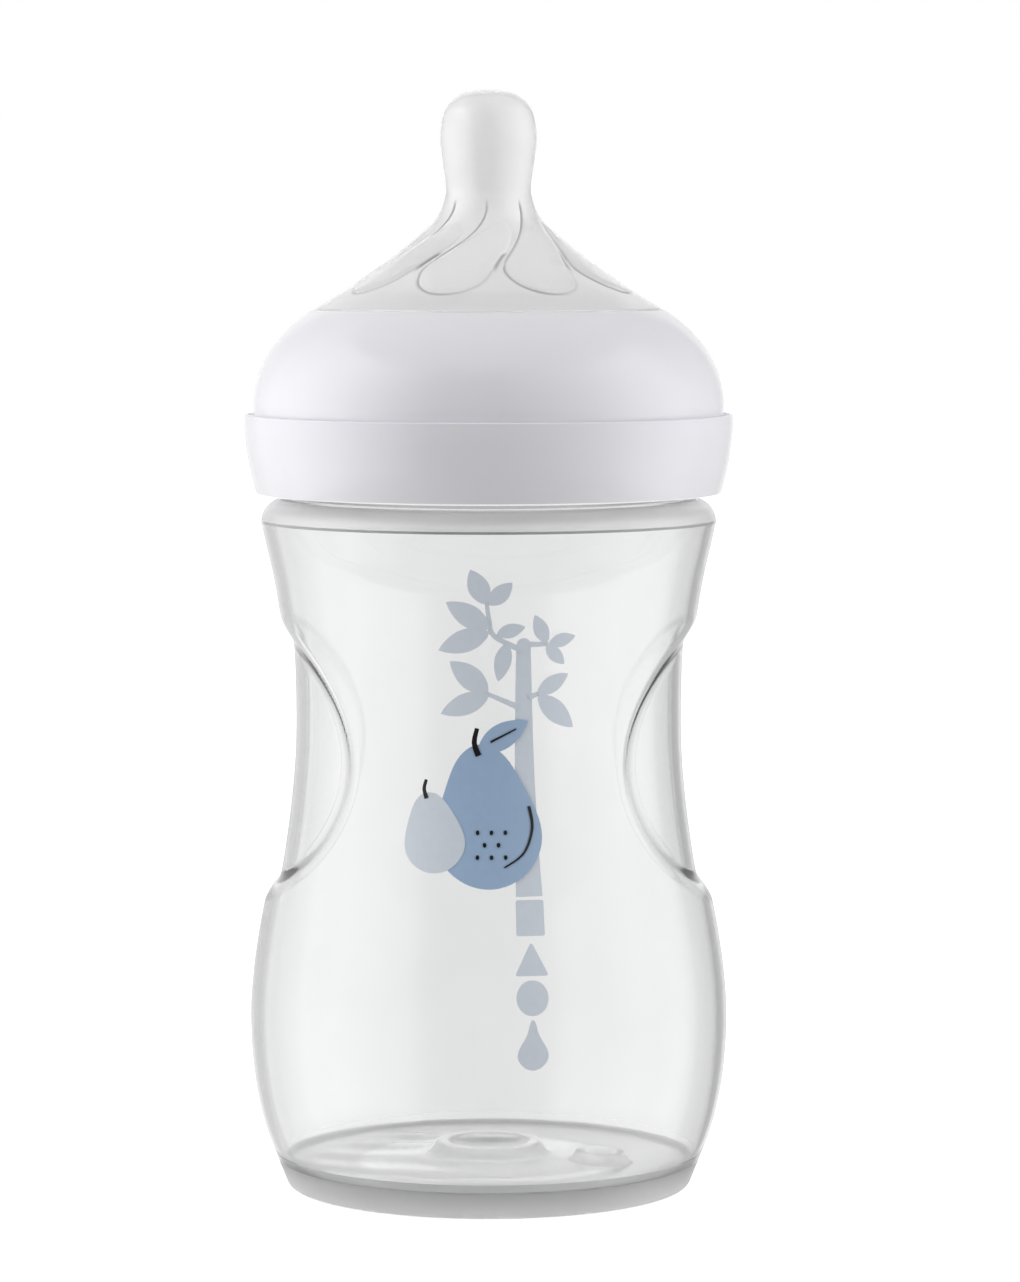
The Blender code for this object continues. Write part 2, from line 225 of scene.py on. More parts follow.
# --- flat artwork ------------------------------------------------------------------------
def leaf(foot_across, foot_up, direction, length, width):
    """A leaf, rounded near its foot and pointed at its tip."""
    turn = math.radians(direction)
    steps = 12
    sides = []
    for side in (1, -1):
        edge = []
        for step in range(steps + 1):
            t = step / steps
            half = side * width / 2 * math.sin(math.pi * t ** 0.9) ** 0.8
            edge.append((foot_across + length * t * math.cos(turn) - half * math.sin(turn),
                         foot_up + length * t * math.sin(turn) + half * math.cos(turn)))
        sides.append(edge)
    return sides[0] + sides[1][-2:0:-1]


def stroke(path, start_width, end_width):
    """A line of changing width along a smooth path."""
    line = smooth_curve(path, 0.5)
    left = []
    right = []
    for index, (across, up) in enumerate(line):
        ahead = Vector(line[min(index + 1, len(line) - 1)])
        behind = Vector(line[max(index - 1, 0)])
        along = (ahead - behind).normalized()
        half = (start_width + (end_width - start_width) * index / (len(line) - 1)) / 2
        left.append((across - along.y * half, up + along.x * half))
        right.append((across + along.y * half, up - along.x * half))
    return left + right[::-1]


def fruit(middle_across, middle_up, width, height, lean, waist):
    """A round fruit; waist draws in its upper half to a pear shape."""
    steps = 64
    outline = []
    turn = math.radians(lean)
    for step in range(steps):
        angle = 2 * math.pi * step / steps
        up = height / 2 * math.sin(angle)
        narrow = 1.0 - waist * eased(0.5 + 0.75 * math.sin(angle))
        across = width / 2 * math.cos(angle) * narrow
        outline.append((middle_across + across * math.cos(turn) - up * math.sin(turn),
                        middle_up + across * math.sin(turn) + up * math.cos(turn)))
    return outline


def block(middle_across, middle_up, radii, corners, start=90.0):
    """A regular shape with rounded corners, stretched to its radii; many corners make a disc."""
    points = []
    for corner in range(corners):
        angle = math.radians(start + 360 * corner / corners)
        points.append((middle_across + radii[0] * math.cos(angle),
                       middle_up + radii[1] * math.sin(angle), radii[0] * 0.13))
    return rounded(points, closed=True)


# --- curves and turned shapes ------------------------------------------------------------
def smooth_curve(points, spacing, lead_in=None):
    """Points on a smooth curve through the given ones, about one spacing apart.  A lead_in
    point ahead of the first one sets the direction the curve starts in."""
    ends = [lead_in or points[0]] + list(points) + [points[-1]]
    curve = []
    for before, start, stop, after in zip(ends, ends[1:], ends[2:], ends[3:]):
        pieces = max(1, round(math.dist(start, stop) / spacing))
        for piece in range(pieces):
            t = piece / pieces
            curve.append(tuple(
                0.5 * (2 * b + (c - a) * t + (2 * a - 5 * b + 4 * c - d) * t ** 2
                       + (3 * b - a - 3 * c + d) * t ** 3)
                for a, b, c, d in zip(before, start, stop, after)))
    curve.append(tuple(points[-1]))
    return curve


def arc(centre, radii, start, stop, pieces):
    """Points on an upright ellipse arc; angles in degrees, 0 outward and 90 up."""
    points = []
    for piece in range(pieces + 1):
        angle = math.radians(start + (stop - start) * piece / pieces)
        points.append((centre[0] + radii[0] * math.cos(angle),
                       centre[1] + radii[1] * math.sin(angle)))
    return points


def rounded(corners, closed=False):
    """An outline through (radius, height, rounding) corners, each eased by its rounding."""
    points = []
    count = len(corners)
    for index, (radius, height, rounding) in enumerate(corners):
        corner = Vector((radius, height))
        at_end = not closed and index in (0, count - 1)
        if rounding == 0 or at_end:
            points.append(tuple(corner))
            continue
        before = Vector(corners[index - 1][:2]) - corner
        after = Vector(corners[(index + 1) % count][:2]) - corner
        half_turn = before.angle(after) / 2
        reach = rounding / math.tan(half_turn)
        start = corner + before.normalized() * min(reach, before.length * 0.49)
        stop = corner + after.normalized() * min(reach, after.length * 0.49)
        for piece in range(ROUNDING_PIECES + 1):
            t = piece / ROUNDING_PIECES
            points.append(tuple((1 - t) ** 2 * start + 2 * t * (1 - t) * corner + t ** 2 * stop))
    return points


def filled_in(points, spacing):
    """The same outline with extra points wherever two neighbours are further apart."""
    result = []
    for start, stop in zip(points, points[1:]):
        pieces = max(1, math.ceil(math.dist(start, stop) / spacing))
        for piece in range(pieces):
            t = piece / pieces
            result.append((start[0] + (stop[0] - start[0]) * t,
                           start[1] + (stop[1] - start[1]) * t))
    result.append(points[-1])
    return result


def turned(name, outline, segments, closed=False, shift=None, twist=None, lift=None):
    """A smooth turned piece.  shift(azimuth, radius, height) pushes its skin outward,
    lift(azimuth, radius, height) pushes it up, and twist(height) turns each row of
    vertices, so that edges can follow a spiral."""
    vertices = []
    rows = []
    for radius, height in outline:
        if radius < 1e-6:
            rows.append([len(vertices)] * segments)
            vertices.append((0.0, 0.0, height))
            continue
        row = []
        for segment in range(segments):
            azimuth = 2 * math.pi * segment / segments
            if twist:
                azimuth += twist(height)
            reach = radius + (shift(azimuth, radius, height) if shift else 0.0)
            rise = lift(azimuth, radius, height) if lift else 0.0
            row.append(len(vertices))
            vertices.append((reach * math.sin(azimuth), -reach * math.cos(azimuth), height + rise))
        rows.append(row)
    faces = []
    following = rows[1:] + ([rows[0]] if closed else [])
    for upper, lower in zip(rows, following):
        for segment in range(segments):
            after = (segment + 1) % segments
            corners = [upper[segment], lower[segment], lower[after], upper[after]]
            faces.append(tuple(dict.fromkeys(corners)))
    mesh = bpy.data.meshes.new(name)
    mesh.from_pydata(vertices, [], faces)
    mesh.shade_smooth()
    piece = bpy.data.objects.new(name, mesh)
    bpy.context.scene.collection.objects.link(piece)
    return piece


def eased(share):
    """0 to 1 with a soft start and stop."""
    share = min(1.0, max(0.0, share))
    return share * share * (3.0 - 2.0 * share)


def rounded_ramp(share, rounding):
    """0 to 1 along a straight slope, rounded where it starts and stops."""
    share = min(1.0, max(0.0, share))
    from_end = min(share, 1.0 - share)
    if from_end < rounding:
        value = from_end ** 2 / (2 * rounding * (1.0 - rounding))
    else:
        value = (from_end - rounding / 2) / (1.0 - rounding)
    return value if share < 0.5 else 1.0 - value


def thread_rise(azimuth, height, start, turns):
    """How far a right-hand thread stands out of its wall at a place, 0 to 1."""
    share = ((azimuth - math.pi / 2) / (2 * math.pi)) % 1.0
    rise = 0.0
    for lap in (0, 1):
        along = share + lap
        if along <= turns:
            distance = abs(height - start - PITCH * along)
            flank = (THREAD_FOOT / 2 - distance) / ((THREAD_FOOT - THREAD_TIP) / 2)
            fade = min(1.0, along / THREAD_END, (turns - along) / THREAD_END)
            rise = max(rise, fade * eased(flank))
    return rise


# --- the three pieces --------------------------------------------------------------------
@functools.cache
def outer_wall():
    """Outside of the wall from bulge to shoulder (radius, height)."""
    return smooth_curve(WALL_BENDS, 0.0005, BEFORE_BULGE)


@functools.cache
def wall_radius(height):
    """Outside radius of the bottle's round wall at a height."""
    if height < BULGE_HEIGHT:
        below = (BULGE_HEIGHT - height) / BULGE_HEIGHT
        reach = BULGE_RADIUS - STANDING_OUTER_RADIUS
        return STANDING_OUTER_RADIUS + reach * math.sqrt(1.0 - below ** 2)
    for (lower_radius, lower), (upper_radius, upper) in zip(outer_wall(), outer_wall()[1:]):
        if lower <= height <= upper:
            share = (height - lower) / (upper - lower)
            return lower_radius + (upper_radius - lower_radius) * share
    return SHOULDER_RADIUS


def bottle_shift(azimuth, radius, height):
    """Oval grips at +X and -X, and the neck's thread.  Azimuth 0 is the front."""
    if height > SHIFTED_NECK_BOTTOM:
        on_outside = radius > (NECK_RADIUS + NECK_BORE_RADIUS) / 2
        rise = thread_rise(azimuth, height, NECK_THREAD_START, NECK_THREAD_TURNS)
        return THREAD_RISE * rise if on_outside else 0.0
    from_side = math.asin(min(1.0, abs(math.cos(azimuth))))
    toward_end = min(1.0, from_side / GRIP_HALF_ANGLE)
    distance = math.hypot(from_side / GRIP_HALF_ANGLE, (height - GRIP_HEIGHT) / GRIP_HALF_HEIGHT)
    if distance >= 1.0:
        return 0.0
    edge = GRIP_EDGE + (GRIP_END_EDGE - GRIP_EDGE) * toward_end ** 2
    depth = GRIP_DEPTH * (1.0 - GRIP_FADE * toward_end)
    return -depth * rounded_ramp((1.0 - distance) / edge, GRIP_EDGE_ROUNDING)


def floor_lift(azimuth, radius, height):
    """A small round ridge on the right of the inner floor, and faint ripples on its left."""
    on_floor = FLOOR_HEIGHT - 0.0003 < height < FLOOR_HEIGHT + 0.0011
    if not (on_floor and RIDGE_REACH < radius < FLOOR_EDGE_RADIUS - 0.0010):
        return 0.0
    across = radius * math.sin(azimuth)
    depth = -radius * math.cos(azimuth)
    to_small_ridge = math.dist((across, depth), SMALL_RIDGE_PLACE) - SMALL_RIDGE_RADIUS
    rise = SMALL_RIDGE_RISE * eased(1.0 - abs(to_small_ridge) / SMALL_RIDGE_HALF_WIDTH)
    fade = eased((radius - RIDGE_REACH) / 0.0030) * eased((FLOOR_EDGE_RADIUS - radius) / 0.0060)
    ripple = math.sin(depth / RIPPLE_LENGTH + across / RIPPLE_SLANT)
    return rise + RIPPLE_HEIGHT * ripple * fade * eased(-across / 0.0100)


def thick_zone(distance, height):
    """Material slot of a face of the bottle: 0 for the thin wall, else as in THICK_ZONES."""
    floor_limit = 0.0056 if distance > FLOOR_EDGE_RADIUS - 0.0020 else 0.0090
    if height < FLOOR_HEIGHT and distance > STANDING_INNER_RADIUS - 0.0020:
        return 1
    if distance < wall_radius(height) - WALL / 2 and height < floor_limit:
        return 2
    if SHOULDER_HEIGHT + 0.0003 < height < SHOULDER_TOP and distance > NECK_RADIUS:
        return 3
    return 0


def make_bottle():
    wall = outer_wall()
    inner_wall = [(radius - WALL, height) for radius, height in wall]
    inner_foot = arc((STANDING_OUTER_RADIUS, BULGE_HEIGHT),
                     (BULGE_RADIUS - WALL - STANDING_OUTER_RADIUS, INNER_FOOT_REACH), -53, 0, 44)
    floor = rounded([
        (0.0, FLOOR_HEIGHT + 0.0007, 0),
        (RIDGE_INNER_RADIUS - 0.0012, FLOOR_HEIGHT + 0.0007, 0.0008),
        (RIDGE_INNER_RADIUS, RIDGE_TOP, 0.0007),
        (RIDGE_OUTER_RADIUS, RIDGE_TOP, 0.0007),
        (RIDGE_OUTER_RADIUS + 0.0013, FLOOR_HEIGHT + 0.0009, 0.0012),
        (0.0180, FLOOR_HEIGHT + 0.0003, 0.0040),
        (FLOOR_EDGE_RADIUS, FLOOR_HEIGHT, 0.0010),
        (*inner_foot[0], 0),
    ])
    inner_neck = rounded([
        (inner_wall[-1][0], SHOULDER_HEIGHT, 0),
        (inner_wall[-1][0], SHOULDER_UNDERSIDE, 0.0010),
        (NECK_BORE_RADIUS + 0.0020, SHOULDER_UNDERSIDE + 0.0008, 0.0015),
        (NECK_BORE_RADIUS, SHOULDER_TOP + 0.0020, 0.0015),
        (NECK_BORE_RADIUS, NECK_TOP, 0.0005),
        (NECK_RADIUS, NECK_TOP, 0.0007),
        (NECK_RADIUS, SHOULDER_TOP + 0.0006, 0.0006),
        (SHOULDER_RADIUS - SHOULDER_ROUNDING + 0.0004, SHOULDER_TOP, 0),
    ])
    shoulder = arc((SHOULDER_RADIUS - SHOULDER_ROUNDING, SHOULDER_HEIGHT),
                   (SHOULDER_ROUNDING, SHOULDER_TOP - SHOULDER_HEIGHT), 82, 0, 12)
    foot = arc((STANDING_OUTER_RADIUS, BULGE_HEIGHT),
               (BULGE_RADIUS - STANDING_OUTER_RADIUS, BULGE_HEIGHT), 0, FOOT_END_ANGLE, 24)
    underside = rounded([
        (*foot[-1], 0),
        FOOT_CORNER,
        (STANDING_OUTER_RADIUS, 0.0, 0.0010),
        (STANDING_INNER_RADIUS, 0.0, 0.0004),
        (STANDING_INNER_RADIUS - UNDERSIDE_RECESS, UNDERSIDE_RECESS, 0.0006),
        (DIMPLE_RADIUS + 0.0010, UNDERSIDE_RECESS + 0.0002, 0.0008),
        (DIMPLE_RADIUS, DIMPLE_TOP, 0.0005),
        (0.0, DIMPLE_TOP, 0),
    ])
    outline = (filled_in(floor, 0.0006) + inner_foot[1:] + inner_wall[1:]
               + filled_in(inner_neck[1:], 0.00025) + shoulder + wall[-2:0:-1]
               + foot[:-1] + filled_in(underside, 0.0006))
    piece = turned("bottle_shell", outline, SEGMENTS, shift=bottle_shift, lift=floor_lift)
    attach(piece, "bottle")
    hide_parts("bottle_body")
    piece.data.materials.append(clear_plastic())
    for zone, *look in THICK_ZONES:
        piece.data.materials.append(thick_plastic(f"clear_polypropylene_{zone}", *look))
    for face in piece.data.polygons:
        face.material_index = thick_zone(math.hypot(*face.center[:2]), face.center.z)


def ring_shift(azimuth, radius, height):
    """The ring's thread stands inward from its bore."""
    if abs(radius - RING_BORE_RADIUS) > 0.0001 or height > RING_BORE_TOP - 0.0005:
        return 0.0
    return -THREAD_RISE * thread_rise(azimuth, height, RING_THREAD_START, RING_THREAD_TURNS)


def make_ring():
    dome = arc(DOME_CENTRE, DOME_RADII, DOME_START, 2, 60)
    lip = rounded([
        (RING_HOLE_RADIUS, RING_SEAT_HEIGHT, 0),
        (RING_HOLE_RADIUS, RING_TOP, 0.00015),
        (*dome[0], 0.00025),
        (*dome[2], 0),
    ])
    step = rounded([
        (*dome[-1], 0),
        (LEDGE_INNER_RADIUS, LEDGE_HEIGHT, 0.00035),
        (LEDGE_OUTER_RADIUS, LEDGE_HEIGHT, 0.00020),
        (LEDGE_OUTER_RADIUS, BAND_TOP, 0.00015),
        (BAND_RADIUS, BAND_TOP, 0.00035),
        (*BAND_BENDS[0], 0),
    ])
    inside = rounded([
        (*BAND_BENDS[-2], 0),
        (*BAND_BENDS[-1], 0.0003),
        (RING_BORE_RADIUS, RING_BOTTOM, 0.0005),
        (RING_BORE_RADIUS, RING_BORE_TOP, 0),
        (RING_SEAT_RADIUS, RING_SEAT_HEIGHT, 0.0005),
        (RING_HOLE_RADIUS, RING_SEAT_HEIGHT, 0),
    ])
    band = smooth_curve(BAND_BENDS, 0.0004)
    outline = (filled_in(lip, 0.0004)[:-1] + dome[3:-1] + filled_in(step, 0.0003)[:-1]
               + band[:band.index(BAND_BENDS[-2])] + filled_in(inside, 0.0003)[:-1])
    piece = turned("ring_moulding", outline, SEGMENTS, closed=True, shift=ring_shift)
    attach(piece, "ring")
    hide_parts("screw_ring")
    piece.data.materials.append(white_plastic("white_polypropylene_moulding", 0.0))
    # the inside is a copy of the moulding with painted light, an emission of 0.35
    piece.data.materials.append(white_plastic("white_polypropylene_inside_painted_light", 0.35))
    past_bottom_corner = ROUNDING_PIECES + 1
    inside_start = len(outline) - len(filled_in(inside, 0.0003)) + past_bottom_corner
    for face in piece.data.polygons:
        face.material_index = 1 if face.index // SEGMENTS >= inside_start else 0


def crease_lean(height):
    """How far a petal's long crease has swung round the teat at a height."""
    return -PETAL_SWEEP * eased((SWEEP_TOP - height) / (SWEEP_TOP - SWEEP_BOTTOM))


def petal_field(azimuth, radius, height):
    """Pad height, 0 to 1, and crease strength, 0 to 1, of the teat's petals at a place."""
    if not PETAL_BOTTOM < height < PETAL_TOP + 0.0010:
        return 0.0, 0.0
    pitch = 2 * math.pi / PETALS
    place = (azimuth - PETAL_FIRST - crease_lean(height)) % pitch   # angle right of a crease
    to_crease = min(place, pitch - place) * radius
    sheet = eased(place * radius / 0.0012) * (1.0 - eased((place / pitch - 0.35) / 0.65))
    crease = math.exp(-(to_crease / CREASE_WIDTH) ** 2)
    crease *= eased((PETAL_TOP - height) / 0.0015)
    below = (PETAL_LOBE_HEIGHT - height) / PETAL_LOBE_RISE
    across = (place - PETAL_LOBE_ANGLE) / PETAL_LOBE_ANGLE
    pillow = math.sqrt(max(0.0, 1.0 - across ** 2 - below ** 2))
    pad = SHEET_SHARE * sheet + (1.0 - SHEET_SHARE) * pillow
    if below > 0.0:
        distance = math.hypot(across, below)
        inside = (1.0 - distance) * PETAL_LOBE_RISE
        blend = eased(below / 0.25)
        lobe_pad = SHEET_SHARE * eased(inside / 0.0014) + (1.0 - SHEET_SHARE) * pillow
        lobe_crease = math.exp(-(inside / CREASE_WIDTH) ** 2)
        lobe_crease *= 0.35 + 0.65 * eased(0.6 - across) if across > -0.6 else 1.0
        pad = pad * (1.0 - blend) + lobe_pad * blend
        crease = crease * (1.0 - blend) + lobe_crease * blend
    to_stroke = abs(place - 2 * PETAL_LOBE_ANGLE) * radius
    stroke_fade = eased((STROKE_TOP - height) / 0.0006) * eased((height - SWEEP_BOTTOM) / 0.0012)
    stroke_strength = min(1.0, 1.7 * math.exp(-(to_stroke / STROKE_WIDTH) ** 2))
    crease = max(crease, stroke_strength * stroke_fade)
    pad *= eased((PETAL_TOP - height) / 0.0060)
    return pad, crease


def make_teat():
    skin = smooth_curve(TEAT_SKIN, 0.00016)
    base = rounded([
        (*TEAT_SKIN[-1], 0),
        (TEAT_COLLAR_RADIUS, TEAT_FLANGE_TOP, 0.0003),
        (TEAT_FLANGE_RADIUS, TEAT_FLANGE_TOP, 0.0003),
        (TEAT_FLANGE_RADIUS, TEAT_FLANGE_BOTTOM, 0.0003),
        (TEAT_COLLAR_RADIUS - TEAT_WALL, TEAT_FLANGE_BOTTOM, 0.0003),
        (TEAT_COLLAR_RADIUS - TEAT_WALL, TEAT_FLANGE_TOP + 0.0020, 0.0012),
        (TEAT_SKIN[-2][0] - TEAT_WALL, TEAT_SKIN[-2][1] - 0.0010, 0),
    ])
    inner = [(radius - TEAT_WALL, height - 0.0008)
             for radius, height in smooth_curve(TEAT_SKIN[3:-1], 0.0004)][::-1]
    crown = rounded([
        (*inner[-1], 0),
        (0.0030, TEAT_TOP - TEAT_TIP_WALL - 0.0002, 0.0010),
        (MILK_HOLE_RADIUS, TEAT_TOP - TEAT_TIP_WALL, 0),
        (MILK_HOLE_RADIUS, TEAT_TOP - 0.0001, 0),
    ])
    outline = (skin + filled_in(base, 0.0004)[1:-1] + inner + filled_in(crown, 0.0003)[1:-1])
    outer_rows = len(skin)
    painted_crease_shade_values = []
    painted_pad_highlight_values = []

    def shift(azimuth, radius, height):
        pad, crease = petal_field(azimuth, radius, height)
        on_skin = len(painted_crease_shade_values) < outer_rows * TEAT_SEGMENTS
        painted_crease_shade_values.append(crease if on_skin else 0.0)
        painted_pad_highlight_values.append(pad if on_skin else 0.0)
        return PETAL_PAD * pad - CREASE_DEPTH * crease if on_skin else 0.0

    piece = turned("teat_skin", outline, TEAT_SEGMENTS, closed=True, shift=shift,
                   twist=crease_lean)
    # the pad attribute carries a painted highlight and the crease attribute painted shade into the
    # silicone's colour
    for name, values in (("crease", painted_crease_shade_values), ("pad", painted_pad_highlight_values)):
        layer = piece.data.attributes.new(name, "FLOAT", "POINT")
        layer.data.foreach_set("value", values)
    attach(piece, "teat")
    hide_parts("teat")
    # painted light: the skin glows a little, and the inside bands glow less toward the top
    piece.data.materials.append(silicone("clear_silicone_moulding", 0.16, 1.41, 0.05))
    for band in range(INNER_BANDS):
        up = band / (INNER_BANDS - 1)
        piece.data.materials.append(silicone(
            f"clear_silicone_inside_{band}", 0.55 - 0.25 * up, 1.41 - 0.35 * up, 0.16 - 0.08 * up))
    inner_start = len(skin) + len(filled_in(base, 0.0004)) - 2
    for face in piece.data.polygons:
        if face.index // TEAT_SEGMENTS >= inner_start:
            up = (face.center.z - INNER_BANDS_BOTTOM) / (INNER_BANDS_TOP - INNER_BANDS_BOTTOM)
            face.material_index = 1 + round(min(1.0, max(0.0, up)) * (INNER_BANDS - 1))


# --- print -------------------------------------------------------------------------------
def printed(name, outlines, material, layer):
    """Flat outlines in mm wrapped round the front of the bottle as a thin film of ink; films
    of a higher layer lie further out."""
    film = bmesh.new()
    for outline in outlines:
        film.faces.new([film.verts.new((across, up, 0.0)) for across, up in outline])
    bmesh.ops.triangulate(film, faces=film.faces)
    bmesh.ops.recalc_face_normals(film, faces=film.faces)
    cuts = [((across, 0, 0), (1, 0, 0)) for across in PRINT_COLUMNS]
    cuts += [((0, up, 0), (0, 1, 0)) for up in PRINT_ROWS]
    for place, normal in cuts:
        everything = film.verts[:] + film.edges[:] + film.faces[:]
        bmesh.ops.bisect_plane(film, geom=everything, plane_co=place, plane_no=normal)
    top = bmesh.ops.extrude_face_region(film, geom=film.faces[:])
    outer = {item for item in top["geom"] if isinstance(item, bmesh.types.BMVert)}
    for vertex in film.verts:
        azimuth = vertex.co.x * 0.001 / PRINT_ROUND
        height = vertex.co.y * 0.001
        radius = wall_radius(height) + PRINT_GAP + layer * 2 * PRINT_THICKNESS
        if vertex in outer:
            radius += PRINT_THICKNESS
        vertex.co = (radius * math.sin(azimuth), -radius * math.cos(azimuth), height)
    bmesh.ops.recalc_face_normals(film, faces=film.faces)
    mesh = bpy.data.meshes.new(name)
    film.to_mesh(mesh)
    film.free()
    piece = bpy.data.objects.new(name, mesh)
    bpy.context.scene.collection.objects.link(piece)
    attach(piece, "bottle")
    mesh.materials.append(material)


def make_print():
    """A plain tree with two fruits over a column of plain shapes."""
    grey = ink("grey_ink", GREY_INK)
    twigs = [stroke(path, 0.85, 0.55) for path in BRANCHES]
    leaves = [leaf(*place) for place in LEAVES]
    printed("print_trunk", [stroke([(5.5, 46.2), (5.2, 64.0), (5.0, 80.9)], 3.6, 2.0)], grey, 0)
    printed("print_crown", [block(5.0, 80.9, (1.0, 1.0), 24)], grey, 1)
    printed("print_twigs", twigs, grey, 1)
    printed("print_leaves", leaves, grey, 2)
    shapes = [
        block(5.5, 43.3, (2.62, 3.45), 4, 45.0),
        block(5.5, 37.0, (2.50, 3.15), 3),
        block(5.5, 32.4, (2.00, 2.45), 40),
        fruit(5.5, 25.9, 4.5, 7.0, 0, 0.70),
    ]
    printed("print_shapes", shapes, grey, 0)
    blue = ink("blue_ink", BLUE_INK)
    printed("print_large_fruit", [fruit(-0.2, 57.2, 16.4, 20.0, 6, 0.30)], blue, 3)
    printed("print_large_leaf", [leaf(-1.4, 66.3, 30, 8.2, 3.6)], blue, 3)
    printed("print_small_fruit", [fruit(-7.6, 54.9, 9.4, 11.2, 10, 0.28)], grey, 4)
    dark = ink("dark_ink", DARK_INK)
    marks = [
        stroke([(-1.3, 65.6), (-1.9, 67.4), (-1.5, 69.4)], 0.85, 0.60),
        stroke([(-8.6, 59.6), (-9.0, 60.9), (-8.7, 62.2)], 0.60, 0.45),
        stroke([(0.4, 67.5), (2.2, 68.4), (4.0, 69.3)], 0.30, 0.20),
        stroke([(2.2, 50.2), (4.9, 52.2), (6.1, 55.6), (5.7, 58.6)], 0.20, 0.45),
    ]
    for row in range(3):
        for place in range(3 - row % 2):
            marks.append(block(-1.4 + 1.9 * place + 0.95 * (row % 2), 51.6 + 1.7 * row,
                               (0.24, 0.34), 12))
    printed("print_marks", marks, dark, 5)


# --- materials ---------------------------------------------------------------------------
PLASTIC_IOR = 1.49


class Shader:
    """A Principled material and short ways to add nodes to it."""

    def __init__(self, name):
        self.material = bpy.data.materials.new(name)
        self.material.use_nodes = True
        self.nodes = self.material.node_tree.nodes
        self.links = self.material.node_tree.links
        self.principled = self.nodes["Principled BSDF"]
        coordinates = self.nodes.new("ShaderNodeTexCoord")
        self.place = coordinates.outputs["Object"]

    def set(self, socket, value):
        self.principled.inputs[socket].default_value = value

    def glow(self, strength):
        self.set("Emission Color", (1.0, 1.0, 1.0, 1.0))
        self.set("Emission Strength", strength)

    def scatter(self, weight, radius):
        self.set("Subsurface Weight", weight)
        self.set("Subsurface Radius", radius)

    def noise(self, scale, detail=3.0, roughness=0.5, stretch=None):
        texture = self.nodes.new("ShaderNodeTexNoise")
        texture.inputs["Scale"].default_value = scale
        texture.inputs["Detail"].default_value = detail
        texture.inputs["Roughness"].default_value = roughness
        place = self.place
        if stretch:
            mapping = self.nodes.new("ShaderNodeMapping")
            mapping.inputs["Scale"].default_value = stretch
            self.links.new(place, mapping.inputs["Vector"])
            place = mapping.outputs["Vector"]
        self.links.new(place, texture.inputs["Vector"])
        return texture.outputs["Fac"]

    def ramp(self, factor, low, high):
        """Two values or colours, mixed by the middle part of a noise factor."""
        ramp = self.nodes.new("ShaderNodeValToRGB")
        elements = ramp.color_ramp.elements
        for element, value, position in zip(elements, (low, high), (0.35, 0.65)):
            colour = value if isinstance(value, tuple) else (value, value, value)
            element.color = (*colour, 1.0)
            element.position = position
        self.links.new(factor, ramp.inputs["Fac"])
        return ramp.outputs["Color"]

    def toward(self, colour, grey, attribute):
        """The colour, turned to a grey as far as a vertex attribute says."""
        share = self.nodes.new("ShaderNodeAttribute")
        share.attribute_name = attribute
        mix = self.nodes.new("ShaderNodeMix")
        mix.data_type = "RGBA"
        mix.inputs["B"].default_value = (grey, grey, grey, 1.0)
        self.links.new(share.outputs["Fac"], mix.inputs["Factor"])
        self.links.new(colour, mix.inputs["A"])
        return mix.outputs["Result"]

    def link(self, output, socket):
        self.links.new(output, self.principled.inputs[socket])

    def bump(self, height, strength, distance, previous=None):
        bump = self.nodes.new("ShaderNodeBump")
        bump.inputs["Strength"].default_value = strength
        bump.inputs["Distance"].default_value = distance
        self.links.new(height, bump.inputs["Height"])
        if previous:
            self.links.new(previous, bump.inputs["Normal"])
        return bump.outputs["Normal"]

    def clear_moulding(self):
        """The refraction, slow swell and fine grain of moulded clear plastic."""
        self.set("IOR", PLASTIC_IOR)
        swell = self.bump(self.noise(45, 1, 0.4, (1.0, 1.0, 0.45)), 0.25, 0.0002)
        self.link(self.bump(self.noise(2600, 2), 0.03, 0.00002, swell), "Normal")


def clear_plastic():
    shader = Shader("clear_polypropylene_moulding")
    shader.set("Transmission Weight", 1.0)
    shader.clear_moulding()
    shader.link(shader.ramp(shader.noise(60), (0.955, 0.957, 0.957), (0.975, 0.976, 0.976)),
                "Base Color")
    shader.link(shader.ramp(shader.noise(180, 4), 0.015, 0.05), "Roughness")
    absorption = shader.nodes.new("ShaderNodeVolumeAbsorption")
    absorption.inputs["Color"].default_value = (0.72, 0.73, 0.73, 1.0)
    absorption.inputs["Density"].default_value = 110.0
    output = shader.nodes["Material Output"]
    shader.links.new(absorption.outputs["Volume"], output.inputs["Volume"])
    return shader.material


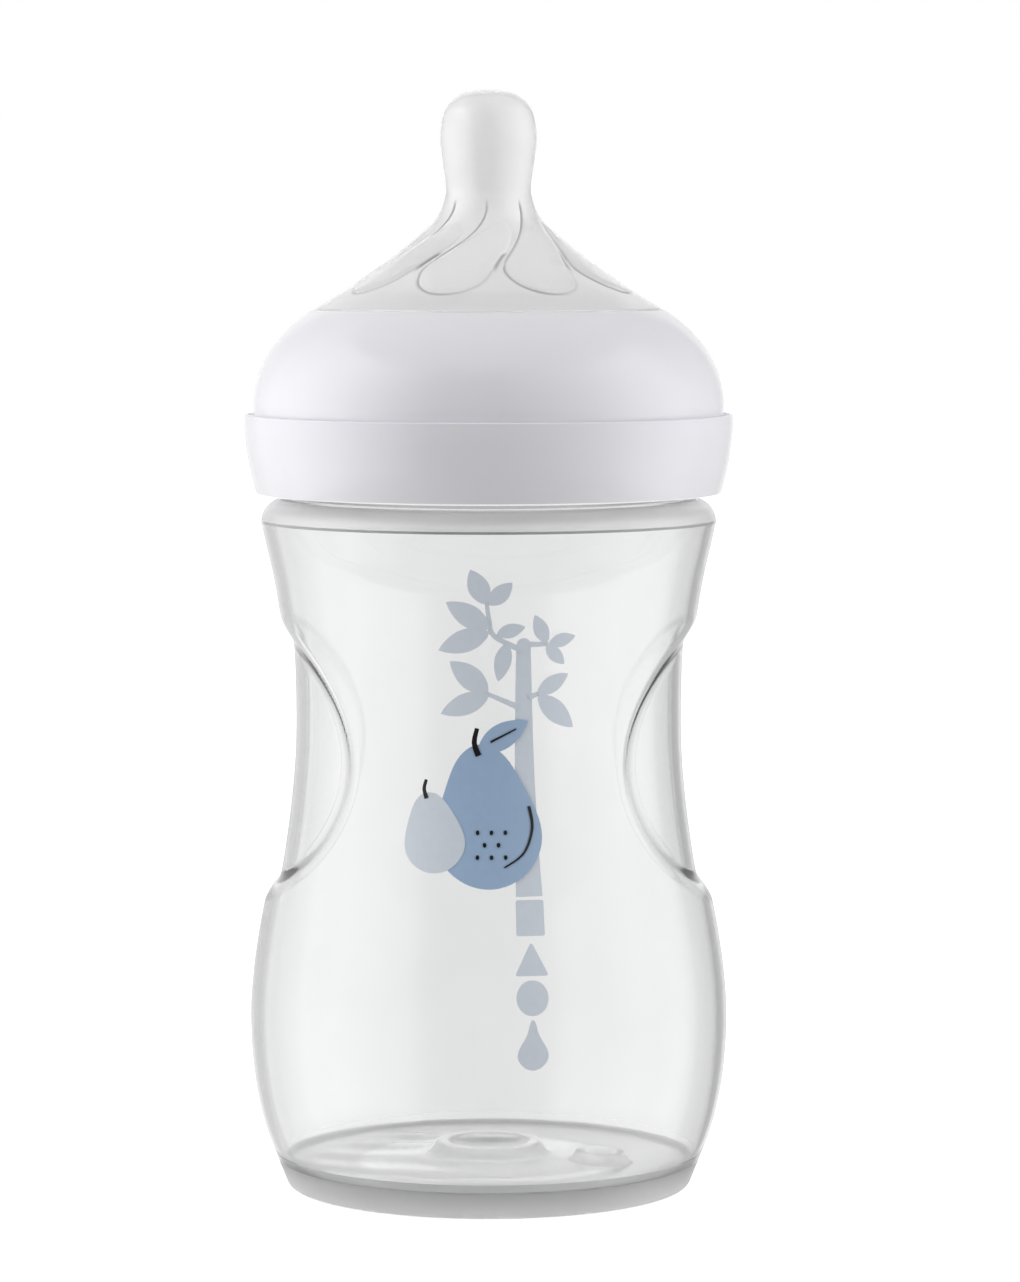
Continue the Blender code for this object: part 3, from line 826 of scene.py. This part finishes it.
def thick_plastic(name, painted_shades, clarity, roughness, glow):
    """The same plastic where it is thick enough to look milky, with painted shade in its base
    colour at the bottom and at the height of the floor.  glow is painted light: an emission that
    stands for the light that the walls lead into it."""
    shader = Shader(name)
    shader.set("Transmission Weight", clarity)
    shader.scatter(1.0, (0.006, 0.006, 0.006))
    # painted light: the glow is an emission, not a lamp
    shader.glow(glow)
    shader.clear_moulding()
    # painted shade: the base colour is darkened with height, from its shade at the bottom to that
    # at the floor
    axes = shader.nodes.new("ShaderNodeSeparateXYZ")
    shader.links.new(shader.place, axes.inputs["Vector"])
    painted_shade_by_height = shader.nodes.new("ShaderNodeMapRange")
    painted_shade_by_height.inputs["From Max"].default_value = FLOOR_HEIGHT
    painted_shade_by_height.inputs["To Min"].default_value = painted_shades[0]
    painted_shade_by_height.inputs["To Max"].default_value = painted_shades[1]
    shader.links.new(axes.outputs["Z"], painted_shade_by_height.inputs["Value"])
    painted_shade_mix = shader.nodes.new("ShaderNodeMix")
    painted_shade_mix.data_type = "RGBA"
    painted_shade_mix.blend_type = "MULTIPLY"
    painted_shade_mix.inputs["Factor"].default_value = 1.0
    shader.links.new(painted_shade_by_height.outputs["Result"], painted_shade_mix.inputs["A"])
    shader.links.new(shader.ramp(shader.noise(60), 0.97, 1.0), painted_shade_mix.inputs["B"])
    shader.link(painted_shade_mix.outputs["Result"], "Base Color")
    shader.link(shader.ramp(shader.noise(180, 4), roughness, roughness + 0.08), "Roughness")
    return shader.material


def white_plastic(name, glow):
    """glow is painted light: an emission that stands for the light that comes through the wall to
    its inside.
    """
    shader = Shader(name)
    shader.glow(glow)
    shader.scatter(0.12, (0.002, 0.002, 0.0022))
    shader.set("IOR", PLASTIC_IOR)
    shader.link(shader.ramp(shader.noise(35), (0.815, 0.808, 0.848), (0.845, 0.838, 0.875)),
                "Base Color")
    shader.link(shader.ramp(shader.noise(260, 4), 0.13, 0.20), "Roughness")
    swell = shader.bump(shader.noise(90, 1), 0.08, 0.0002)
    shader.link(shader.bump(shader.noise(3200, 2), 0.05, 0.00002, swell), "Normal")
    return shader.material


def silicone(name, roughness, ior, glow):
    """glow is painted light: an emission that stands for the light that comes up from the ring and
    spreads in the silicone.
    """
    shader = Shader(name)
    shader.glow(glow)
    shader.scatter(1.0, (0.004, 0.004, 0.004))
    shader.set("Transmission Weight", 0.62)
    shader.set("Coat Weight", 0.6)
    shader.set("Coat Roughness", 0.10)
    shader.set("IOR", ior)
    cloud = shader.ramp(shader.noise(120), 0.93, 0.95)
    # painted highlight: the pads are lightened toward 0.99
    painted_pad_colour = shader.toward(cloud, 0.99, "pad")
    # painted shade: the creases and strokes are darkened toward 0.30
    shader.link(shader.toward(painted_pad_colour, 0.30, "crease"), "Base Color")
    shader.link(shader.ramp(shader.noise(300, 4), roughness, roughness * 1.3), "Roughness")
    shader.link(shader.bump(shader.noise(900, 2), 0.02, 0.00003), "Normal")
    return shader.material


def ink(name, colour):
    shader = Shader(name)
    paler = tuple(value * 1.025 for value in colour)
    shader.link(shader.ramp(shader.noise(900, 4), colour, paler), "Base Color")
    shader.link(shader.ramp(shader.noise(700, 3), 0.30, 0.45), "Roughness")
    shader.link(shader.bump(shader.noise(4200, 2), 0.15, 0.00001), "Normal")
    return shader.material


# --- studio ------------------------------------------------------------------------------
LIGHT_AROUND = [                    # azimuth in degrees from the front, and radiance there
    (-180, 0.96),
    (-163, 0.96),
    (-157, 0.73),
    (-139, 0.73),
    (-137, 1.05),
    (-126, 1.05),
    (-102, 2.20),
    (-78, 2.60),
    (-55, 1.68),
    (-38, 0.85),
    (-28, 0.05),
    (6, 0.02),
    (20, 0.46),
    (37, 0.97),
    (55, 1.32),
    (77, 2.15),
    (102, 1.80),
    (122, 0.66),
    (130, 0.62),
    (132, 0.54),
    (157, 0.54),
    (163, 0.96),
    (180, 0.96),
]
LIGHT_BELOW = [                     # the same for the light the floor gives back
    (-180, 0.31),
    (-135, 0.60),
    (-90, 1.39),
    (-50, 0.70),
    (0, 0.10),
    (50, 0.70),
    (90, 1.35),
    (135, 0.60),
    (180, 0.31),
]
LIGHT_ABOVE = (0.60, 0.78)          # radiance of the ceiling behind and in front
FLOOR_LIMIT = (-0.47, -0.37)        # sine of the slope where floor light turns to wall light
CEILING_LIMIT = (0.71, 0.78)        # and where wall light turns to ceiling light
BRIGHTEST = 2.6                     # radiance that the ramps' white stands for
THROUGH_PLASTIC = (0.50, 1.12)      # least and most that is seen through clear plastic
CAMERA_PLACE = (0.00306, -0.720, 0.1382)
CAMERA_TILT = 4.695                 # degrees down from level
CAMERA_SENSOR = 36.0                # height of the sensor and focal length, in mm
CAMERA_LENS = 141.206


def make_world():
    """A white room with a large softbox on each side and a dark front.  The radiance round the
    horizon is LIGHT_AROUND, below it LIGHT_BELOW and above it LIGHT_ABOVE; the eye sees white."""
    world = bpy.data.worlds.new("studio")
    bpy.context.scene.world = world
    world.use_nodes = True
    nodes = world.node_tree.nodes
    links = world.node_tree.links

    def math_node(operation, first, second):
        node = nodes.new("ShaderNodeMath")
        node.operation = operation
        for socket, value in zip(node.inputs, (first, second)):
            if isinstance(value, (int, float)):
                socket.default_value = value
            else:
                links.new(value, socket)
        return node.outputs["Value"]

    def soft_step(value, start, stop, low, high):
        step = nodes.new("ShaderNodeMapRange")
        step.interpolation_type = "SMOOTHSTEP"
        for socket, setting in zip(step.inputs[1:5], (start, stop, low, high)):
            socket.default_value = setting
        links.new(value, step.inputs["Value"])
        return step.outputs["Result"]

    direction = nodes.new("ShaderNodeTexCoord")
    axes = nodes.new("ShaderNodeSeparateXYZ")
    links.new(direction.outputs["Generated"], axes.inputs["Vector"])
    to_front = math_node("MULTIPLY", axes.outputs["Y"], -1.0)
    azimuth = math_node("ARCTAN2", axes.outputs["X"], to_front)
    turn = math_node("ADD", math_node("DIVIDE", azimuth, 2 * math.pi), 0.5)

    def around(table):
        ramp = nodes.new("ShaderNodeValToRGB")
        stops = ramp.color_ramp.elements
        stops.remove(stops[-1])
        for index, (degrees, radiance) in enumerate(table):
            place = degrees / 360 + 0.5
            stop = stops[0] if index == 0 else stops.new(place)
            stop.position = place
            share = radiance / BRIGHTEST
            stop.color = (share, share, share, 1.0)
        links.new(turn, ramp.inputs["Fac"])
        return math_node("MULTIPLY", ramp.outputs["Color"], BRIGHTEST)

    def blend(factor, low, high):
        mix = nodes.new("ShaderNodeMix")
        links.new(factor, mix.inputs["Factor"])
        links.new(low, mix.inputs["A"])
        links.new(high, mix.inputs["B"])
        return mix.outputs["Result"]

    over_floor = soft_step(axes.outputs["Z"], *FLOOR_LIMIT, 0.0, 1.0)
    walls = blend(over_floor, around(LIGHT_BELOW), around(LIGHT_AROUND))
    up = soft_step(axes.outputs["Z"], *CEILING_LIMIT, 0.0, 1.0)
    ceiling = soft_step(to_front, -0.25, 0.25, *LIGHT_ABOVE)
    room = blend(up, walls, ceiling)
    seen = nodes.new("ShaderNodeLightPath")
    least, most = THROUGH_PLASTIC
    screened = math_node("MAXIMUM", math_node("MINIMUM", room, most), least)
    lit = blend(seen.outputs["Is Transmission Ray"], room, screened)
    shown = nodes.new("ShaderNodeMix")
    shown.inputs["B"].default_value = 1.0
    links.new(seen.outputs["Is Camera Ray"], shown.inputs["Factor"])
    links.new(lit, shown.inputs["A"])
    background = nodes["Background"]
    links.new(shown.outputs["Result"], background.inputs["Color"])


def floor_paper():
    shader = Shader("pale_floor")
    shader.link(shader.ramp(shader.noise(3), (0.90, 0.90, 0.90), (0.93, 0.93, 0.93)), "Base Color")
    shader.set("Roughness", 0.9)
    shader.glow(0.60)
    return shader.material


def make_floor():
    mesh = bpy.data.meshes.new("floor")
    builder = bmesh.new()
    bmesh.ops.create_circle(builder, cap_ends=True, segments=96, radius=4.0)
    builder.to_mesh(mesh)
    builder.free()
    floor = bpy.data.objects.new("floor", mesh)
    bpy.context.scene.collection.objects.link(floor)
    floor.location.z = -0.0002
    floor.visible_diffuse = False
    floor.visible_glossy = False
    floor.visible_transmission = False
    mesh.materials.append(floor_paper())


def make_camera():
    """Level with the upper part of the teat, looking slightly down from 0.72 m."""
    data = bpy.data.cameras.new("camera")
    data.sensor_fit = "VERTICAL"
    data.sensor_height = CAMERA_SENSOR
    data.lens = CAMERA_LENS
    camera = bpy.data.objects.new("camera", data)
    bpy.context.scene.collection.objects.link(camera)
    camera.location = CAMERA_PLACE
    camera.rotation_euler = (math.radians(90 - CAMERA_TILT), 0.0, 0.0)
    bpy.context.scene.camera = camera


make_camera()
make_world()
make_floor()
bpy.context.scene.view_settings.view_transform = "Standard"
make_bottle()
make_ring()
make_teat()
make_print()
